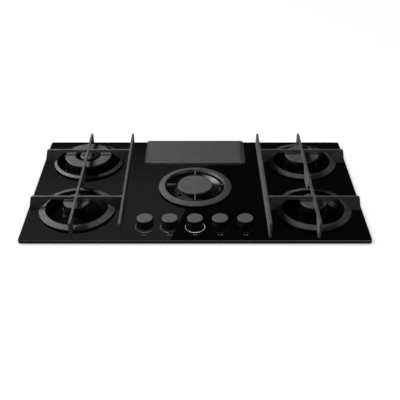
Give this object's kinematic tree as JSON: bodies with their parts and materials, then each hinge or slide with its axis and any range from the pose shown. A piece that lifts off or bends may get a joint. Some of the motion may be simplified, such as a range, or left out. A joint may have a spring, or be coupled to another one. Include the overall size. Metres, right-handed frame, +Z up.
{
  "type": "gas cooktop",
  "caption": "Built-in gas cooktop: black glass top, burners in raised rings, cast pan grates, push-and-turn knobs and a flat vent cover at the rear centre.",
  "frame": {"origin": "middle of the flat underside of the tray, below the middle of the glass", "axes": "+X to the cook's right along the long side, +Y to the rear, +Z up"},
  "size_m": [0.9, 0.52, 0.112],
  "materials": {
    "black_glass": "polished",
    "cast_iron_enamel": "satin",
    "ring_enamel": "satin",
    "bowl_enamel": "gloss",
    "cap_enamel": "matte",
    "burner_alloy": "cast",
    "knob_plastic": "matte",
    "zinc_steel": "galvanised",
    "steel_tube": "plain",
    "pipe_aluminium": "plain",
    "brass": "machined",
    "rubber": "matte",
    "ceramic": "glazed",
    "black_plastic": "matte",
    "lead_jacket": "matte",
    "screw_steel": "plain",
    "filter_mesh": "plain"
  },
  "bodies": {
    "hob": {"glass_top": "black_glass", "seal_strip": "rubber", "bottom_tray": "zinc_steel", "burner_rails": "zinc_steel", "burner_cups": "burner_alloy", "injectors": "brass", "drip_bowls": "bowl_enamel", "spark_electrodes": "ceramic", "thermocouples": "steel_tube", "ring_front_left": "ring_enamel", "ring_rear_left": "ring_enamel", "ring_centre": "ring_enamel", "ring_rear_right": "ring_enamel", "ring_front_right": "ring_enamel", "gas_valves": "burner_alloy", "stem_grommets": "rubber", "ignition_switches": "black_plastic", "gas_manifold": "steel_tube", "gas_inlet": "brass", "burner_pipes": "pipe_aluminium", "spark_module": "black_plastic", "ignition_leads": "lead_jacket", "terminal_block": "black_plastic", "vent_frame": "zinc_steel", "hold_down_clamps": "zinc_steel", "valve_screws": "screw_steel", "m4_screws": "screw_steel"},
    "valve_plug_1": {"valve_plug_1": "brass"},
    "knob_1": {"knob_1": "knob_plastic", "valve_stem_1": "screw_steel"},
    "valve_plug_2": {"valve_plug_2": "brass"},
    "knob_2": {"knob_2": "knob_plastic", "valve_stem_2": "screw_steel"},
    "valve_plug_3": {"valve_plug_3": "brass"},
    "knob_3": {"knob_3": "knob_plastic", "valve_stem_3": "screw_steel"},
    "valve_plug_4": {"valve_plug_4": "brass"},
    "knob_4": {"knob_4": "knob_plastic", "valve_stem_4": "screw_steel"},
    "valve_plug_5": {"valve_plug_5": "brass"},
    "knob_5": {"knob_5": "knob_plastic", "valve_stem_5": "screw_steel"},
    "flame_head_front_left": {"flame_head_front_left": "burner_alloy"},
    "cap_front_left": {"cap_front_left": "cap_enamel"},
    "flame_head_rear_left": {"flame_head_rear_left": "burner_alloy"},
    "cap_rear_left": {"cap_rear_left": "cap_enamel"},
    "flame_head_centre": {"flame_head_centre": "burner_alloy"},
    "cap_centre": {"cap_centre": "cap_enamel"},
    "flame_head_rear_right": {"flame_head_rear_right": "burner_alloy"},
    "cap_rear_right": {"cap_rear_right": "cap_enamel"},
    "flame_head_front_right": {"flame_head_front_right": "burner_alloy"},
    "cap_front_right": {"cap_front_right": "cap_enamel"},
    "cap_rear_left_inner": {"cap_rear_left_inner": "cap_enamel"},
    "grate_left": {"grate_left": "cast_iron_enamel", "grate_feet_left": "rubber"},
    "grate_right": {"grate_right": "cast_iron_enamel", "grate_feet_right": "rubber"},
    "centre_pan_support": {"centre_pan_support": "cast_iron_enamel"},
    "vent_cover": {"vent_cover": "cast_iron_enamel"},
    "grease_filter": {"grease_filter": "filter_mesh"}
  },
  "joints": [
    {"name": "knob_1_turn", "type": "hinge", "parent": "hob", "child": "valve_plug_1", "pos_m": [-0.13, -0.199, 0.045], "axis": [0, 0, 1], "range_deg": [0, 210]},
    {"name": "knob_1_push", "type": "slide", "parent": "valve_plug_1", "child": "knob_1", "axis": [0, 0, -1], "range_m": [0, 0.003], "stiffness_N_per_m": 1500, "springref_m": -0.002},
    {"name": "knob_2_turn", "type": "hinge", "parent": "hob", "child": "valve_plug_2", "pos_m": [-0.065, -0.199, 0.045], "axis": [0, 0, 1], "range_deg": [0, 210]},
    {"name": "knob_2_push", "type": "slide", "parent": "valve_plug_2", "child": "knob_2", "axis": [0, 0, -1], "range_m": [0, 0.003], "stiffness_N_per_m": 1500, "springref_m": -0.002},
    {"name": "knob_3_turn", "type": "hinge", "parent": "hob", "child": "valve_plug_3", "pos_m": [0, -0.199, 0.045], "axis": [0, 0, 1], "range_deg": [0, 210]},
    {"name": "knob_3_push", "type": "slide", "parent": "valve_plug_3", "child": "knob_3", "axis": [0, 0, -1], "range_m": [0, 0.003], "stiffness_N_per_m": 1500, "springref_m": -0.002},
    {"name": "knob_4_turn", "type": "hinge", "parent": "hob", "child": "valve_plug_4", "pos_m": [0.065, -0.199, 0.045], "axis": [0, 0, 1], "range_deg": [0, 210]},
    {"name": "knob_4_push", "type": "slide", "parent": "valve_plug_4", "child": "knob_4", "axis": [0, 0, -1], "range_m": [0, 0.003], "stiffness_N_per_m": 1500, "springref_m": -0.002},
    {"name": "knob_5_turn", "type": "hinge", "parent": "hob", "child": "valve_plug_5", "pos_m": [0.13, -0.199, 0.045], "axis": [0, 0, 1], "range_deg": [0, 210]},
    {"name": "knob_5_push", "type": "slide", "parent": "valve_plug_5", "child": "knob_5", "axis": [0, 0, -1], "range_m": [0, 0.003], "stiffness_N_per_m": 1500, "springref_m": -0.002},
    {"name": "flame_head_front_left_lift", "type": "slide", "parent": "hob", "child": "flame_head_front_left", "axis": [0, 0, 1], "range_m": [0, 0.002]},
    {"name": "cap_front_left_lift", "type": "slide", "parent": "flame_head_front_left", "child": "cap_front_left", "axis": [0, 0, 1], "range_m": [0, 0.002]},
    {"name": "flame_head_rear_left_lift", "type": "slide", "parent": "hob", "child": "flame_head_rear_left", "axis": [0, 0, 1], "range_m": [0, 0.0035]},
    {"name": "cap_rear_left_lift", "type": "slide", "parent": "flame_head_rear_left", "child": "cap_rear_left", "axis": [0, 0, 1], "range_m": [0, 0.004]},
    {"name": "flame_head_centre_lift", "type": "slide", "parent": "hob", "child": "flame_head_centre", "axis": [0, 0, 1], "range_m": [0, 0.03]},
    {"name": "cap_centre_lift", "type": "slide", "parent": "flame_head_centre", "child": "cap_centre", "axis": [0, 0, 1], "range_m": [0, 0.03]},
    {"name": "flame_head_rear_right_lift", "type": "slide", "parent": "hob", "child": "flame_head_rear_right", "axis": [0, 0, 1], "range_m": [0, 0.002]},
    {"name": "cap_rear_right_lift", "type": "slide", "parent": "flame_head_rear_right", "child": "cap_rear_right", "axis": [0, 0, 1], "range_m": [0, 0.002]},
    {"name": "flame_head_front_right_lift", "type": "slide", "parent": "hob", "child": "flame_head_front_right", "axis": [0, 0, 1], "range_m": [0, 0.002]},
    {"name": "cap_front_right_lift", "type": "slide", "parent": "flame_head_front_right", "child": "cap_front_right", "axis": [0, 0, 1], "range_m": [0, 0.002]},
    {"name": "cap_rear_left_inner_lift", "type": "slide", "parent": "flame_head_rear_left", "child": "cap_rear_left_inner", "axis": [0, 0, 1], "range_m": [0, 0.004]},
    {"name": "grate_left_lift", "type": "slide", "parent": "hob", "child": "grate_left", "axis": [0, 0, 1], "range_m": [0, 0.08]},
    {"name": "grate_right_lift", "type": "slide", "parent": "hob", "child": "grate_right", "axis": [0, 0, 1], "range_m": [0, 0.08]},
    {"name": "centre_pan_support_lift", "type": "slide", "parent": "hob", "child": "centre_pan_support", "axis": [0, 0, 1], "range_m": [0, 0.04]},
    {"name": "vent_cover_lift", "type": "slide", "parent": "hob", "child": "vent_cover", "axis": [0, 0, 1], "range_m": [0, 0.06]},
    {"name": "grease_filter_lift", "type": "slide", "parent": "hob", "child": "grease_filter", "axis": [0, 0, 1], "range_m": [0, 0.02]}
  ]
}
